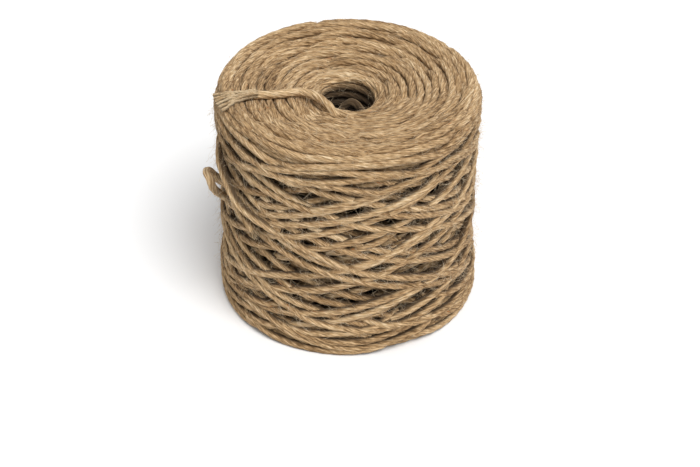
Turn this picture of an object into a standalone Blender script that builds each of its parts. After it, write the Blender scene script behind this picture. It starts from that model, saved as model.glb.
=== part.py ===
"""Ball of twine: a cross-wound roll of jute twine with its two loose ends.

Blender 4.5, metres, +Z up. The roll stands on its flat foot, its bore is upright,
and the origin is the middle of the foot. Azimuths are in degrees: 0 is the front
(-Y) and they grow towards +X, so a point at azimuth a lies at (sin a, -cos a).
"""

import math
import random
from collections import namedtuple

import bmesh
import bpy
from mathutils import Vector, kdtree

# Driving dimensions of the roll
TWINE = 0.005
ROLL_RADIUS = 0.0775
ROLL_HEIGHT = 0.142
BORE_RADIUS = 0.0145
RIM_RADIUS = 0.0184
FUNNEL_DEPTH = 0.010
TOP_DISH = 0.0066
BASE_DISH = 0.0030
SHOULDER_WIDTH = 0.008
SHOULDER_DROP = 0.011
FOOT_ROUND = 0.004
FLAT_INNER = 0.046
FLAT_OUTER = 0.066
TOUCH_GAP = 0.0003
LYING_GAP = 0.00045

# The winding: two families of strands cross at this angle to the level
WIND_ANGLE = math.radians(17.0)
COLUMNS = 36
COLUMN_TURN = 2 * math.pi / COLUMNS
ROW_STEP = ROLL_RADIUS * COLUMN_TURN / 2 * math.tan(WIND_ANGLE)
TURN_STEP = 0.0022
BORE_STEP = 0.010
BORE_TURNS_SEEN = 0.020
FUNNEL_FACETS = 4
FOOT_FACETS = 3

# How far the surface lies inside its outer form, by what is wound there
LAST_WRAP_DEPTH = 0.0
CROSSING_DEPTH = 0.0004
ONE_STRAND_DEPTH = 0.0011
GAP_DEPTH = 0.0042
TURN_VALLEY_DEPTH = 0.0013
SHOULDER_SOFTENING = 0.6
UNEVENNESS = 0.3
OUTLINE_LOBE = 0.0004
LOBE_START = 0.7
SEED = 7

# Colour of the twine, linear, and its roughness
JUTE_COLOUR = (0.283, 0.188, 0.105, 1.0)
JUTE_ROUGHNESS = 0.9

# The last wraps, laid over all others: the side they fall to as they run right,
# and the azimuth and height of their middle, with half their reach in azimuth
Wrap = namedtuple("Wrap", "falls azimuth height half_reach")
LAST_WRAPS = (
    Wrap("right", 17.0, 0.055, 52.0),
    Wrap("right", 4.0, 0.124, 26.0),
    Wrap("right", -35.0, 0.106, 25.0),
    Wrap("left", -15.0, 0.028, 45.0),
    Wrap("left", -5.0, 0.096, 45.0),
    Wrap("left", 22.0, 0.075, 23.0),
)

# Route of the inner end over the top: x and y of its middle line
START_ROUTE = (
    (0.0035, -0.0262),
    (-0.0055, -0.0232),
    (-0.0115, -0.0185),
    (-0.0160, -0.0130),
    (-0.0217, -0.0080),
    (-0.0285, -0.0062),
    (-0.0400, -0.0107),
    (-0.0480, -0.0134),
    (-0.0543, -0.0155),
)

# The plies fan out from the stub at the tip of that end
STUB_LENGTH = 0.004
PLY_COUNT = 6
PLY_WIDTH = 0.0016
PLY_PITCH = 0.0017
PLY_LENGTH = 0.019
PLY_FAN = 0.018
PLY_FAN_POWER = 1.1
PLY_OUTER_SHORTER = 0.15
PLY_WAVE = 0.0006
PLY_WAVE_TURN = 7.0
PLY_WAVE_SHIFT = 2.3
PLY_DROOP = 0.10
PLY_STEPS = 7
CORD_STEP = 0.0045
CORD_SIDES_LEVEL = 3

# Route of the outer end: azimuth, radius of its middle line past the roll, height
Station = namedtuple("Station", "azimuth lift height")
TAIL_ROUTE = (
    Station(-68.5, 0.0, 0.0800),
    Station(-69.2, 0.0007, 0.0815),
    Station(-68.3, 0.0025, 0.0855),
    Station(-66.1, 0.0061, 0.0925),
    Station(-66.0, 0.0071, 0.0980),
    Station(-67.9, 0.0077, 0.0992),
    Station(-70.4, 0.0068, 0.0989),
    Station(-71.9, 0.0046, 0.0967),
    Station(-71.3, 0.0019, 0.0937),
    Station(-68.4, 0.0010, 0.0930),
    Station(-65.4, 0.0005, 0.0931),
    Station(-62.9, 0.0002, 0.0932),
    Station(-60.6, 0.0001, 0.0930),
    Station(-57.2, 0.0001, 0.0910),
    Station(-54.2, 0.0001, 0.0880),
    Station(-51.1, 0.0001, 0.0848),
    Station(-47.9, 0.0001, 0.0816),
    Station(-45.0, 0.0, 0.0791),
    Station(-43.1, 0.0, 0.0773),
)

Row = namedtuple("Row", "radius height out up zone")


def top_height(radius):
    """Height of the top face: highest near the shoulder, dished to the bore."""
    reach = (radius - RIM_RADIUS) / (ROLL_RADIUS - SHOULDER_WIDTH - RIM_RADIUS)
    inner = ROLL_HEIGHT - TOP_DISH * (1 - min(1.0, max(0.0, reach)) ** 2)
    over = min(1.0, max(0.0, (radius - ROLL_RADIUS + SHOULDER_WIDTH) / SHOULDER_WIDTH))
    return inner - SHOULDER_DROP * (1 - math.sqrt(1 - over ** 2))


def base_height(radius):
    """Height of the underside: flat in a ring, lifted a little towards the bore."""
    if radius >= FLAT_INNER:
        return 0.0
    return BASE_DISH * ((FLAT_INNER - radius) / (FLAT_INNER - RIM_RADIUS)) ** 2


def between(start, stop, step):
    """Evenly spaced values from start up to, but not with, stop."""
    count = max(1, round(abs(stop - start) / step))
    return [start + (stop - start) * k / count for k in range(count)]


def section_rows():
    """The closed section of the roll, up the bore, over the top and down the side."""
    rows = []
    base_rim = base_height(RIM_RADIUS)
    top_rim = top_height(RIM_RADIUS)
    funnel_foot = top_rim - FUNNEL_DEPTH
    turns_foot = funnel_foot - BORE_TURNS_SEEN
    rows.append(Row(RIM_RADIUS, base_rim, 0.0, -1.0, "plain"))
    for height in between(base_rim + FUNNEL_DEPTH / 2, turns_foot, BORE_STEP):
        rows.append(Row(BORE_RADIUS, height, -1.0, 0.0, "plain"))
    for height in between(turns_foot, funnel_foot, 2 * TURN_STEP):
        rows.append(Row(BORE_RADIUS, height, -1.0, 0.0, "turns"))
    for angle in between(0.0, math.pi / 2, math.pi / 2 / FUNNEL_FACETS):
        radius = BORE_RADIUS + (RIM_RADIUS - BORE_RADIUS) * (1 - math.cos(angle))
        height = top_rim - FUNNEL_DEPTH * (1 - math.sin(angle))
        rows.append(Row(radius, height, -math.cos(angle), math.sin(angle), "turns"))
    for radius in between(RIM_RADIUS, ROLL_RADIUS - SHOULDER_WIDTH, TURN_STEP):
        rows.append(Row(radius, top_height(radius), 0.0, 1.0, "turns"))
    shoulder_length = math.pi / 2 * math.hypot(SHOULDER_WIDTH, SHOULDER_DROP) / math.sqrt(2)
    for angle in between(0.0, math.pi / 2, math.pi / 2 * ROW_STEP / shoulder_length):
        radius = ROLL_RADIUS - SHOULDER_WIDTH * (1 - math.sin(angle))
        height = ROLL_HEIGHT - SHOULDER_DROP * (1 - math.cos(angle))
        rows.append(Row(radius, height, math.sin(angle), math.cos(angle), "shoulder"))
    for height in between(ROLL_HEIGHT - SHOULDER_DROP, FOOT_ROUND, ROW_STEP):
        rows.append(Row(ROLL_RADIUS, height, 1.0, 0.0, "cross"))
    for angle in between(0.0, math.pi / 2, math.pi / 2 / FOOT_FACETS):
        radius = ROLL_RADIUS - FOOT_ROUND * (1 - math.cos(angle))
        height = FOOT_ROUND * (1 - math.sin(angle))
        rows.append(Row(radius, height, math.cos(angle), -math.sin(angle), "shoulder"))
    for radius in between(ROLL_RADIUS - FOOT_ROUND, FLAT_OUTER, 2 * TURN_STEP):
        rows.append(Row(radius, 0.0, 0.0, -1.0, "turns"))
    for radius in between(FLAT_OUTER, FLAT_INNER - TURN_STEP, 4 * TURN_STEP):
        rows.append(Row(radius, 0.0, 0.0, -1.0, "flat"))
    for radius in between(FLAT_INNER - TURN_STEP, RIM_RADIUS, 2 * TURN_STEP):
        rows.append(Row(radius, base_height(radius), 0.0, -1.0, "turns"))
    return rows


def wrap_strands(rows):
    """For each last wrap, the strand of the lattice that it follows."""
    first = next(k for k, row in enumerate(rows) if row.zone == "cross")
    strands = []
    for wrap in LAST_WRAPS:
        row = first + (ROLL_HEIGHT - SHOULDER_DROP - wrap.height) / ROW_STEP
        half_columns = math.radians(wrap.azimuth - 90.0) / (COLUMN_TURN / 2)
        sign = -1 if wrap.falls == "right" else 1
        strands.append(2 * round((half_columns + sign * row) / 4) % COLUMNS)
    return strands


def winding_depth(rows, strands, index, half_column):
    """How deep the surface lies at one crossing, strand or gap of the lattice."""
    falling = (half_column - index) // 2 % COLUMNS
    rising = (half_column + index) // 2 % COLUMNS
    azimuth = (math.degrees(half_column * COLUMN_TURN / 2) + 270.0) % 360.0 - 180.0
    for wrap, strand in zip(LAST_WRAPS, strands):
        followed = falling if wrap.falls == "right" else rising
        if followed == strand and abs(azimuth - wrap.azimuth) <= wrap.half_reach:
            return LAST_WRAP_DEPTH
    if falling % 2 and rising % 2:
        return GAP_DEPTH
    if falling % 2 or rising % 2:
        return ONE_STRAND_DEPTH
    return CROSSING_DEPTH


def relief(rows, strands, index, half_column, chance):
    """Depth of the surface inside the section at one point of the turned mesh."""
    row = rows[index]
    scale = 1.0 + UNEVENNESS * (chance - 0.5) * 2
    if row.zone in ("plain", "flat"):
        return 0.0
    if row.zone == "turns":
        return TURN_VALLEY_DEPTH * scale * (index % 2)
    lobe = OUTLINE_LOBE * (1 + math.sin(half_column * COLUMN_TURN + LOBE_START)) / 2
    depth = winding_depth(rows, strands, index, half_column) * scale
    if row.zone == "shoulder":
        return depth * SHOULDER_SOFTENING
    return min(GAP_DEPTH, depth + lobe)


def evaluated_mesh(obj):
    """The object's mesh with its modifiers applied."""
    bpy.context.view_layer.update()
    depsgraph = bpy.context.evaluated_depsgraph_get()
    return bpy.data.meshes.new_from_object(obj.evaluated_get(depsgraph))


def finish(obj, mesh, material, smooth_angle=40.0):
    """Give an object its final mesh, its material and its shading."""
    obj.modifiers.clear()
    obj.data = mesh
    mesh.materials.clear()
    mesh.materials.append(material)
    mesh.shade_smooth()
    mesh.set_sharp_from_angle(angle=math.radians(smooth_angle))
    return obj


def wound_body(parts, material):
    """The roll: its section turned round Z, then its strands raised in the points."""
    rows = section_rows()
    profile = bpy.data.meshes.new("roll_section")
    ring = [(k, (k + 1) % len(rows)) for k in range(len(rows))]
    profile.from_pydata([(row.radius, 0.0, row.height) for row in rows], ring, [])
    obj = bpy.data.objects.new("wound_body", profile)
    parts.objects.link(obj)
    turn = obj.modifiers.new("turn", "SCREW")
    turn.steps = COLUMNS
    turn.render_steps = COLUMNS
    turn.use_merge_vertices = True
    turn.merge_threshold = 0.00005
    mesh = evaluated_mesh(obj)

    tree = kdtree.KDTree(len(rows))
    for index, row in enumerate(rows):
        tree.insert((row.radius, 0.0, row.height), index)
    tree.balance()
    chances = random.Random(SEED)
    chance = [[chances.random() for _ in range(COLUMNS)] for _ in rows]
    strands = wrap_strands(rows)

    shape = bmesh.new()
    shape.from_mesh(mesh)
    for vert in shape.verts:
        _, index, _ = tree.find((math.hypot(vert.co.x, vert.co.y), 0.0, vert.co.z))
        column = round(math.atan2(vert.co.y, vert.co.x) / COLUMN_TURN) % COLUMNS
        half_column = 2 * column + index % 2
        row = rows[index]
        depth = relief(rows, strands, index, half_column, chance[index][column])
        radius = row.radius - row.out * depth
        turn_angle = half_column * COLUMN_TURN / 2
        vert.co = (
            radius * math.cos(turn_angle),
            radius * math.sin(turn_angle),
            max(0.0, row.height - row.up * depth),
        )
    bmesh.ops.recalc_face_normals(shape, faces=shape.faces)
    bmesh.ops.triangulate(shape, faces=shape.faces, quad_method="SHORT_EDGE")
    shape.to_mesh(mesh)
    shape.free()
    return finish(obj, mesh, material)


def smooth_route(points, step):
    """Evenly spaced points on a smooth curve through the route's own points."""
    ends = [points[0] * 2 - points[1]] + list(points) + [points[-1] * 2 - points[-2]]
    fine = []
    for k in range(1, len(ends) - 2):
        before, start, stop, after = ends[k - 1:k + 3]
        for t in between(0.0, 1.0, 1 / 16):
            pull = start * 2 + (stop - before) * t
            pull += (before * 2 - start * 5 + stop * 4 - after) * t ** 2
            pull += (start * 3 - before - stop * 3 + after) * t ** 3
            fine.append(pull / 2)
    fine.append(ends[-2])
    lengths = [0.0]
    for start, stop in zip(fine, fine[1:]):
        lengths.append(lengths[-1] + (stop - start).length)
    count = max(2, round(lengths[-1] / step))
    route = []
    place = 0
    for k in range(count + 1):
        want = lengths[-1] * k / count
        while place < len(fine) - 2 and lengths[place + 1] < want:
            place += 1
        share = (want - lengths[place]) / (lengths[place + 1] - lengths[place])
        route.append(fine[place].lerp(fine[place + 1], min(1.0, share)))
    return route


def cord_curve(name, route, collection):
    """A free length of the twine as a curve with a round bevel and filled caps."""
    curve = bpy.data.curves.new(name, "CURVE")
    curve.dimensions = "3D"
    curve.bevel_depth = TWINE / 2
    curve.bevel_resolution = CORD_SIDES_LEVEL
    curve.use_fill_caps = True
    spline = curve.splines.new("POLY")
    spline.points.add(len(route) - 1)
    for point, place in zip(spline.points, route):
        point.co = (*place, 1.0)
    obj = bpy.data.objects.new(name, curve)
    collection.objects.link(obj)
    return obj


def on_top(x, y, half_width):
    """A point whose cord of this half width lies on the top face."""
    highest = max(top_height(math.hypot(x, y) + side * half_width) for side in (-1, 0, 1))
    return Vector((x, y, highest + half_width + LYING_GAP))


def on_side(azimuth, lift, height):
    """A point of a cord that lies on the side of the roll, or lifts off it."""
    radius = ROLL_RADIUS + TOUCH_GAP + TWINE / 2 + lift
    turn = math.radians(azimuth)
    return Vector((radius * math.sin(turn), -radius * math.cos(turn), height))


def start_end(parts, material):
    """The inner end: along the rim of the bore, then across the top to the left."""
    points = [on_top(x, y, TWINE / 2) for x, y in START_ROUTE]
    obj = cord_curve("start_end", smooth_route(points, CORD_STEP), parts)
    obj.data.materials.append(material)
    return obj


def ply_route(column, layer, front, along, across, up):
    """Middle line of one ply, from its cell in the stub's face to its tip."""
    rank = (2 * column + layer) / (PLY_COUNT - 1) - 0.5
    root = across * (column - 1) * PLY_PITCH + up * (layer - 0.5) * PLY_PITCH
    points = []
    for k in range(PLY_STEPS + 1):
        share = k / PLY_STEPS
        shift = PLY_WAVE_SHIFT * (column + 3 * layer)
        wave = PLY_WAVE * share * math.sin(PLY_WAVE_TURN * share + shift)
        spread = across * (rank * PLY_FAN * share ** PLY_FAN_POWER + wave)
        reach = along * PLY_LENGTH * share * (1 - PLY_OUTER_SHORTER * abs(rank))
        place = front + reach + spread + root * (1 - share)
        lying = on_top(place.x, place.y, PLY_WIDTH / 2).z
        drooped = front.z - PLY_DROOP * PLY_LENGTH * share ** 2 + root.z * (1 - share)
        place.z = max(lying, drooped)
        points.append(place)
    return points


def start_plies(parts, material):
    """The frayed tip: a short stub of twine, and the plies drawn out of its face."""
    end = on_top(*START_ROUTE[-1], TWINE / 2)
    before = on_top(*START_ROUTE[-2], TWINE / 2)
    along = (end - before).normalized()
    across = along.cross(Vector((0, 0, 1))).normalized()
    up = across.cross(along)
    shape = bmesh.new()
    bmesh.ops.create_grid(shape, x_segments=PLY_COUNT // 2, y_segments=2, size=1.0)
    for vert in shape.verts:
        u, v = vert.co.x, vert.co.y
        round_u = u * math.sqrt(1 - v * v / 2)
        round_v = v * math.sqrt(1 - u * u / 2)
        vert.co = end + along * LYING_GAP + (across * round_u + up * round_v) * TWINE / 2
    drawn = bmesh.ops.extrude_face_region(shape, geom=list(shape.faces))["geom"]
    drawn_verts = [item for item in drawn if isinstance(item, bmesh.types.BMVert)]
    bmesh.ops.translate(shape, vec=along * STUB_LENGTH, verts=drawn_verts)
    front = end + along * (LYING_GAP + STUB_LENGTH)
    cells = [face for face in drawn if isinstance(face, bmesh.types.BMFace)]
    for cell in cells:
        offset = cell.calc_center_median() - front
        column = round(offset.dot(across) / PLY_PITCH) + 1
        layer = 1 if offset.dot(up) > 0 else 0
        route = ply_route(column, layer, front, along, across, up)
        for here, ahead in zip(route[1:], route[2:] + [route[-1] * 2 - route[-2]]):
            cell = bmesh.ops.extrude_discrete_faces(shape, faces=[cell])["faces"][0]
            heading = (ahead - here).normalized()
            side = heading.cross(Vector((0, 0, 1))).normalized()
            rise = side.cross(heading)
            middle = cell.calc_center_median()
            for vert in cell.verts:
                corner = vert.co - middle
                right = math.copysign(PLY_WIDTH / 2, corner.dot(side))
                above = math.copysign(PLY_WIDTH / 2, corner.dot(rise))
                vert.co = here + side * right + rise * above
    bmesh.ops.recalc_face_normals(shape, faces=shape.faces)
    mesh = bpy.data.meshes.new("start_plies")
    shape.to_mesh(mesh)
    shape.free()
    obj = bpy.data.objects.new("start_plies", mesh)
    parts.objects.link(obj)
    return finish(obj, mesh, material)


def outer_tail(parts, material):
    """The outer end: a small loop that stands off the side, then back along it."""
    points = [on_side(*station) for station in TAIL_ROUTE]
    obj = cord_curve("outer_tail", smooth_route(points, CORD_STEP), parts)
    obj.data.materials.append(material)
    return obj


def jute(name):
    """A plain twine material; each piece has its own."""
    material = bpy.data.materials.new(name)
    material.use_nodes = True
    shader = material.node_tree.nodes["Principled BSDF"]
    shader.inputs["Base Color"].default_value = JUTE_COLOUR
    shader.inputs["Roughness"].default_value = JUTE_ROUGHNESS
    shader.inputs["Metallic"].default_value = 0.0
    material.diffuse_color = JUTE_COLOUR
    return material


def main():
    for obj in list(bpy.data.objects):
        bpy.data.objects.remove(obj)
    parts = bpy.data.collections.new("ball_of_twine")
    bpy.context.scene.collection.children.link(parts)
    wound_body(parts, jute("jute_roll"))
    start_end(parts, jute("jute_start_end"))
    start_plies(parts, jute("jute_start_plies"))
    outer_tail(parts, jute("jute_outer_tail"))


main()
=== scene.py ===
# %% [markdown]
# # A ball of jute twine
#
# The real thing is one long strand, wound crosswise round a peg that was then drawn
# out, so the ball keeps a round bore. Four things make it look like twine and not like
# a striped drum: the strands really lie over each other, each strand is laid up from
# thin plies, the plies are streaky bast fibre, and loose hairs cross the gaps.
#
# We could paint the winding on a cylinder with a bump map, but its outline and its dark
# gaps would be missing. So this lesson winds real strands, and lets Geometry Nodes
# turn each strand's path into laid twine.

# %% The frame
import math

import bmesh
import bpy
import numpy as np
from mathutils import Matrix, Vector


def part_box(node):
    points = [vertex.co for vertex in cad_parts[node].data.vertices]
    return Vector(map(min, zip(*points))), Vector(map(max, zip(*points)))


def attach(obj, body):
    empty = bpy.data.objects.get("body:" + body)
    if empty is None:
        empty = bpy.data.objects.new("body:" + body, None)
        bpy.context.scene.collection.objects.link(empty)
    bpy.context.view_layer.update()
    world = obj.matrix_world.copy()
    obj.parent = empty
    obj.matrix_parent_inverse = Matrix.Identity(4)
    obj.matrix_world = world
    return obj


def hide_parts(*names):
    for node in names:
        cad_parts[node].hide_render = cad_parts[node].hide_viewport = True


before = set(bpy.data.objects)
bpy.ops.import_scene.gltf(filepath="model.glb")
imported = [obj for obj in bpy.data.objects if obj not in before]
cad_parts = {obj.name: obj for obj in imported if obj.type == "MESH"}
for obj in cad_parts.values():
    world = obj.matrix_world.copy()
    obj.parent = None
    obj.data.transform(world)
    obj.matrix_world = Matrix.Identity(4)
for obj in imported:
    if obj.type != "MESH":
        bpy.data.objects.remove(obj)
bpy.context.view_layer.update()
roll_low, roll_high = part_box("wound_body")
print("frame nodes:", sorted(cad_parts))
print("the roll's solid stands from", round(roll_low[2], 4), "to", round(roll_high[2], 4))

# %% [markdown]
# ## The roll's sizes
#
# The roll's form comes first, because everything is laid on it. All sizes are real, in
# metres. The outer form is a cylinder with a soft shoulder at the top, a tight rounding
# at the foot, and a top face that dips towards the bore.

# %% Sizes of the roll
TWINE = 0.005
HALF = TWINE / 2
ROLL_RADIUS = 0.0775
ROLL_HEIGHT = 0.142
BORE_RADIUS = 0.0145
RIM_RADIUS = 0.0184
FUNNEL_DEPTH = 0.010
TOP_DISH = 0.0066
BASE_DISH = 0.0030
SHOULDER_WIDTH = 0.008
SHOULDER_DROP = 0.011
FOOT_ROUND = 0.004
FLAT_INNER = 0.046
LYING_GAP = 0.00045


def top_height(radius):
    """Height of the top face at a distance from the axis."""
    reach = (radius - RIM_RADIUS) / (ROLL_RADIUS - SHOULDER_WIDTH - RIM_RADIUS)
    inner = ROLL_HEIGHT - TOP_DISH * (1 - np.clip(reach, 0, 1) ** 2)
    over = np.clip((radius - ROLL_RADIUS + SHOULDER_WIDTH) / SHOULDER_WIDTH, 0, 1)
    return inner - SHOULDER_DROP * (1 - np.sqrt(1 - over ** 2))


def base_height(radius):
    """Height of the underside: flat in a ring, lifted a little towards the bore."""
    inward = np.clip((FLAT_INNER - radius) / (FLAT_INNER - RIM_RADIUS), 0, 1)
    return BASE_DISH * inward ** 2


def side_radius(height):
    """Outer radius at a height: straight, with shoulder and foot rounded in."""
    above = np.clip((height - ROLL_HEIGHT + SHOULDER_DROP) / SHOULDER_DROP, 0, 1)
    below = np.clip((FOOT_ROUND - height) / FOOT_ROUND, 0, 1)
    inset = SHOULDER_WIDTH * (1 - np.sqrt(1 - above ** 2))
    return ROLL_RADIUS - inset - FOOT_ROUND * (1 - np.sqrt(1 - below ** 2))


def on_roll(azimuth, radius, height):
    """Points from azimuths in radians (0 is the front, growing to the right)."""
    return np.stack([radius * np.sin(azimuth), -radius * np.cos(azimuth), height], axis=-1)


def place_object(name, data):
    """A new object of the scene."""
    new = bpy.data.objects.new(name, data)
    bpy.context.scene.collection.objects.link(new)
    return new


print("outer radius at mid height", side_radius(ROLL_HEIGHT / 2))

# %% [markdown]
# ## The camera
#
# The photograph looks down on the ball at 35 degrees from about 1.1 m, through a long
# lens, with the ball a little above the middle of the picture. The camera is set
# before the loose ends are laid, because they have to fall where the photograph
# shows them.

# %% Camera
CAMERA_ELEVATION = math.radians(35.0)
CAMERA_DISTANCE = 1.124
CAMERA_LENS = 96.1
CAMERA_SHIFT = (0.003, -0.074)


def make_camera():
    """The camera that took the photograph."""
    camera_data = bpy.data.cameras.new("photo_camera")
    camera_data.lens = CAMERA_LENS
    camera_data.shift_x, camera_data.shift_y = CAMERA_SHIFT
    camera = place_object("photo_camera", camera_data)
    camera.location = (
        0.0,
        -CAMERA_DISTANCE * math.cos(CAMERA_ELEVATION),
        ROLL_HEIGHT / 2 + CAMERA_DISTANCE * math.sin(CAMERA_ELEVATION),
    )
    camera.rotation_euler = (math.pi / 2 - CAMERA_ELEVATION, 0.0, 0.0)
    bpy.context.scene.camera = camera
    return camera


print("camera at", tuple(round(c, 3) for c in make_camera().location))

# %% [markdown]
# ## Routes of the two loose ends
#
# A free end of twine is limp, so its route is a smooth curve through a few listed points:
# along the rim of the bore and over the top for the inner end, and a small standing loop
# on the left side for the outer end. A Catmull-Rom curve passes through every chosen
# point, which a Bezier curve with automatic handles would too; here the points themselves
# are needed, so the curve is worked out in numbers.

# %% Loose ends
# x and y over the top face; its height there follows from the roll.
START_ROUTE = (
    (0.0035, -0.0262),
    (-0.0055, -0.0232),
    (-0.0115, -0.0185),
    (-0.0160, -0.0130),
    (-0.0217, -0.0080),
    (-0.0285, -0.0062),
    (-0.0400, -0.0107),
    (-0.0480, -0.0134),
    (-0.0543, -0.0155),
)
START_SINK = 0.0064
START_FREE = 0.0125
START_DIVE = 0.0080
# Azimuth in degrees, distance off the side, and height.
TAIL_ROUTE = (
    (-68.5, 0.0, 0.0800),
    (-69.2, 0.0007, 0.0815),
    (-68.3, 0.0025, 0.0855),
    (-66.1, 0.0061, 0.0925),
    (-66.0, 0.0071, 0.0980),
    (-67.9, 0.0077, 0.0992),
    (-70.4, 0.0068, 0.0989),
    (-71.9, 0.0046, 0.0967),
    (-71.3, 0.0019, 0.0937),
    (-68.4, 0.0010, 0.0930),
    (-65.4, 0.0005, 0.0931),
    (-62.9, 0.0002, 0.0932),
    (-60.6, 0.0001, 0.0930),
    (-57.2, 0.0001, 0.0910),
    (-54.2, 0.0001, 0.0880),
    (-51.1, 0.0001, 0.0848),
    (-47.9, 0.0001, 0.0816),
    (-45.0, 0.0, 0.0791),
    (-43.1, 0.0, 0.0773),
)
TAIL_BED = 0.0030
TAIL_LIFT_FREE = 0.0014
TAIL_SHOWN_FROM = -55.0
TAIL_SHOWN_BED = 0.0006
ROUTE_STEP = 0.001
STEPS_BETWEEN = 16


def distances(points):
    """How far each point lies along a path."""
    return np.concatenate([[0], np.cumsum(np.linalg.norm(np.diff(points, axis=0), axis=1))])


def smooth_route(points, step=ROUTE_STEP):
    """Evenly spaced points on a smooth curve through the route's own points."""
    points = np.asarray(points, float)
    ends = np.vstack([2 * points[0] - points[1], points, 2 * points[-1] - points[-2]])
    fine = []
    for before, start, stop, after in zip(ends, ends[1:], ends[2:], ends[3:]):
        t = np.linspace(0, 1, STEPS_BETWEEN, endpoint=False)[:, None]
        pull = 2 * start + (stop - before) * t
        pull = pull + (2 * before - 5 * start + 4 * stop - after) * t ** 2
        pull = pull + (3 * start - before - 3 * stop + after) * t ** 3
        fine.append(pull / 2)
    fine = np.vstack(fine + [points[-1:]])
    along = distances(fine)
    places = np.linspace(0, along[-1], max(2, round(along[-1] / step)) + 1)
    return np.stack([np.interp(places, along, fine[:, k]) for k in range(3)], axis=-1)


def on_top(x, y, half_width):
    """A point whose cord of this half width lies on the top face."""
    reach = math.hypot(x, y) + np.array([-half_width, 0, half_width])
    return (x, y, float(np.max(top_height(reach))) + half_width + LYING_GAP)


def tail_point(azimuth, lift, height, bedding=TAIL_BED):
    """A point of the outer end, bedded a little among the strands where it lies."""
    bed = bedding * max(0.0, 1 - lift / TAIL_LIFT_FREE)
    bed = min(bed, TAIL_SHOWN_BED) if azimuth > TAIL_SHOWN_FROM else bed
    radius = ROLL_RADIUS + HALF + lift - bed
    return on_roll(math.radians(azimuth), radius, height)


def start_point(x, y):
    """A point of the inner end, sunk among the rim's turns where it comes out."""
    x, y, z = on_top(x, y, HALF)
    return (x, y, z - START_SINK * min(1.0, max(0.0, (x + START_FREE) / START_DIVE)))


start_path = smooth_route([start_point(x, y) for x, y in START_ROUTE])
tail_path = smooth_route([tail_point(*station) for station in TAIL_ROUTE])
print("inner end", len(start_path), "mm, outer end", len(tail_path), "mm")

# %% [markdown]
# ## How strands come to lie
#
# A winding machine lays each stroke over the strokes before it. We do the same with a
# height map, a sheet of numbers unrolled from the side of the roll: for each stroke we
# look up how high the heap is under its path, pull the strand taut over the bumps, and
# then add the strand to the heap. A physics solver could do this too, but for thirty
# metres of twine it would take hours, and this takes a second.

# %% The heap and its rules
CELL = 0.001
MAP_ROWS = int(ROLL_HEIGHT / CELL) + 1
MAP_COLUMNS = int(2 * math.pi * ROLL_RADIUS / CELL)
PRESS = 0.70
SLACK = 0.22
SOFTNESS = 9
BEND_RADIUS = 0.084
FOOTPRINT = np.linspace(-0.9, 0.9, 7) * HALF
CROWN_SPAN = np.linspace(-1, 1, 11) * HALF
JOINED = 14
chance = np.random.default_rng(41)


def smooth(values, reach):
    """Average each value with its neighbours up to a number of steps away."""
    kernel = np.ones(2 * reach + 1) / (2 * reach + 1)
    padded = np.pad(values, reach, mode="edge")
    return np.convolve(padded, kernel, mode="valid")


def wander(count, reach, size):
    """Slow random waves: noise smoothed twice and scaled to a size."""
    raw = chance.normal(size=count + 4 * reach)
    slow = smooth(smooth(raw, reach), reach)[2 * reach:2 * reach + count]
    return slow * size / np.std(slow) if count > reach else np.zeros(count)


def sideways(height, arc):
    """Unit direction across a path in the unrolled sheet, as height and arc shares."""
    rise, run = np.gradient(height), np.gradient(arc)
    length = np.hypot(rise, run)
    return run / length, -rise / length


def cells(height, arc):
    """Row and column of the height map for each place."""
    row = np.clip(np.rint(height / CELL), 0, MAP_ROWS - 1).astype(int)
    column = np.rint(arc / CELL).astype(int) % MAP_COLUMNS
    return row, column


def pull_taut(level, spacing):
    """Stretch a strand over its supports: the upper hull of its levels, on a round roll."""
    along = np.arange(len(level)) * spacing
    bent = level - along ** 2 / (2 * BEND_RADIUS)
    hull = [0]
    for k in range(1, len(bent)):
        while len(hull) > 1:
            a, b = hull[-2:]
            if (bent[b] - bent[a]) * (k - a) <= (bent[k] - bent[a]) * (b - a):
                hull.pop()
            else:
                break
        hull.append(k)
    return np.interp(along, along[hull], bent[hull]) + along ** 2 / (2 * BEND_RADIUS)


def lay_over(heap, height, azimuth, last_level=None):
    """Lay one strand on the heap; returns how high its middle line comes to lie."""
    arc = azimuth * ROLL_RADIUS
    up, along = sideways(height, arc)
    level = np.full(len(height), -1.0)
    for offset in FOOTPRINT:
        row, column = cells(height + offset * up, arc + offset * along)
        level = np.maximum(level, heap[row, column] + PRESS * math.sqrt(HALF ** 2 - offset ** 2))
    if last_level is not None:
        level[:JOINED] = np.linspace(last_level, level[JOINED], JOINED)
    spacing = float(np.mean(np.hypot(np.diff(height), np.diff(arc))))
    taut = pull_taut(level, spacing)
    middle = SLACK * smooth(level, SOFTNESS) + (1 - SLACK) * taut
    middle = smooth(smooth(middle, SOFTNESS), SOFTNESS)
    if last_level is not None:
        fade = np.clip(np.arange(len(middle)) / JOINED, 0, 1)
        middle = last_level * (1 - fade) + middle * fade
    for offset in CROWN_SPAN:
        row, column = cells(height + offset * up, arc + offset * along)
        crown = middle + PRESS * math.sqrt(max(0.0, HALF ** 2 - offset ** 2))
        np.maximum.at(heap, (row, column), crown)
    return middle


print("height map", MAP_ROWS, "x", MAP_COLUMNS, "cells")

# %% [markdown]
# ## The cross-wound side
#
# A stroke climbs the side at about 17 degrees, turns over at the shoulder and comes
# down again. Nineteen pairs of strokes make one layer. Each pair ends a fixed part of
# a turn from where it began, so that the strands spread evenly and cross in diamonds,
# and small chances in every turning point keep it from looking printed.

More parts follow.
